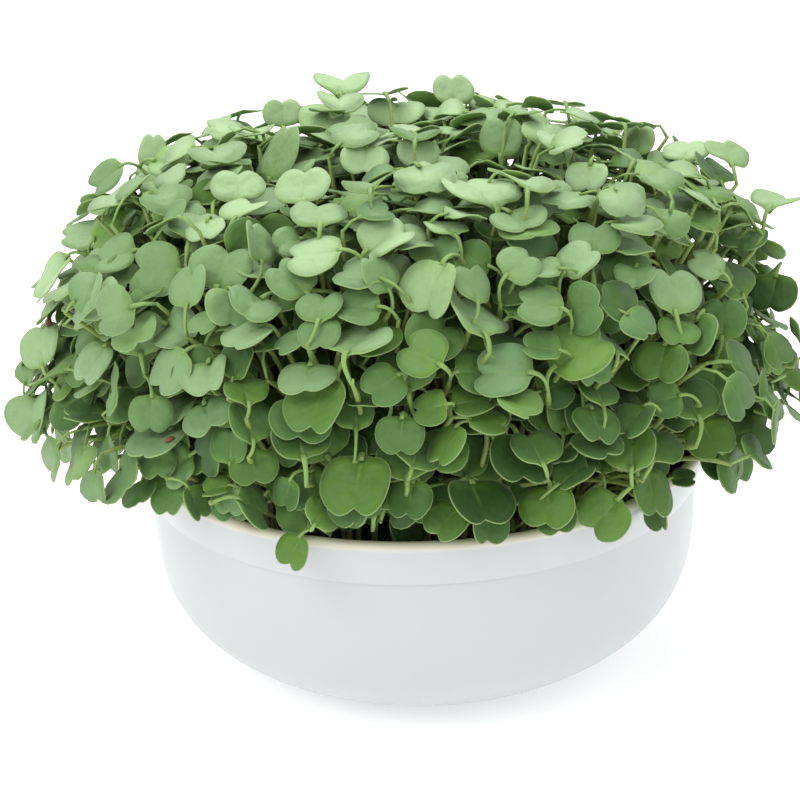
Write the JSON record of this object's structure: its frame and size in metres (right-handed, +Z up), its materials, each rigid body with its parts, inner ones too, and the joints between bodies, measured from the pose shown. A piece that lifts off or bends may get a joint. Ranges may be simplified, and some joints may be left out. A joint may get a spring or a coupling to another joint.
{
  "type": "bowl of arugula microgreens",
  "caption": "Round plastic bowl filled with growing medium, with a dense overhanging dome of seedlings that have notched seed leaves.",
  "frame": {"origin": "centre of the bowl's flat underside", "axes": "+Z up along the bowl's axis; -Y is the front, the side seen in the picture"},
  "size_m": [0.2034, 0.1703, 0.1418],
  "materials": {
    "white_plastic": "satin moulded white plastic with a warmer lip",
    "growing_medium": "moist dark brown crumbly growing medium",
    "seedling_green": "matt blue-green seed leaves with pale edges, on pale yellow-green stems"
  },
  "bodies": {
    "root": {"bowl": "white_plastic", "growing_medium": "growing_medium", "tuft_01": "seedling_green", "tuft_02": "seedling_green", "tuft_03": "seedling_green", "tuft_04": "seedling_green", "tuft_05": "seedling_green", "tuft_06": "seedling_green", "tuft_07": "seedling_green", "tuft_08": "seedling_green", "tuft_09": "seedling_green", "tuft_10": "seedling_green", "tuft_11": "seedling_green", "tuft_12": "seedling_green", "tuft_13": "seedling_green", "tuft_14": "seedling_green", "tuft_15": "seedling_green", "tuft_16": "seedling_green", "tuft_17": "seedling_green", "tuft_18": "seedling_green", "tuft_19": "seedling_green", "tuft_20": "seedling_green", "tuft_21": "seedling_green", "tuft_22": "seedling_green", "tuft_23": "seedling_green", "tuft_24": "seedling_green", "tuft_25": "seedling_green", "tuft_26": "seedling_green", "tuft_27": "seedling_green", "tuft_28": "seedling_green", "tuft_29": "seedling_green", "tuft_30": "seedling_green", "tuft_31": "seedling_green", "tuft_32": "seedling_green", "tuft_33": "seedling_green", "tuft_34": "seedling_green", "tuft_35": "seedling_green", "tuft_36": "seedling_green", "tuft_37": "seedling_green", "tuft_38": "seedling_green", "tuft_39": "seedling_green", "tuft_40": "seedling_green", "tuft_41": "seedling_green"}
  },
  "joints": []
}
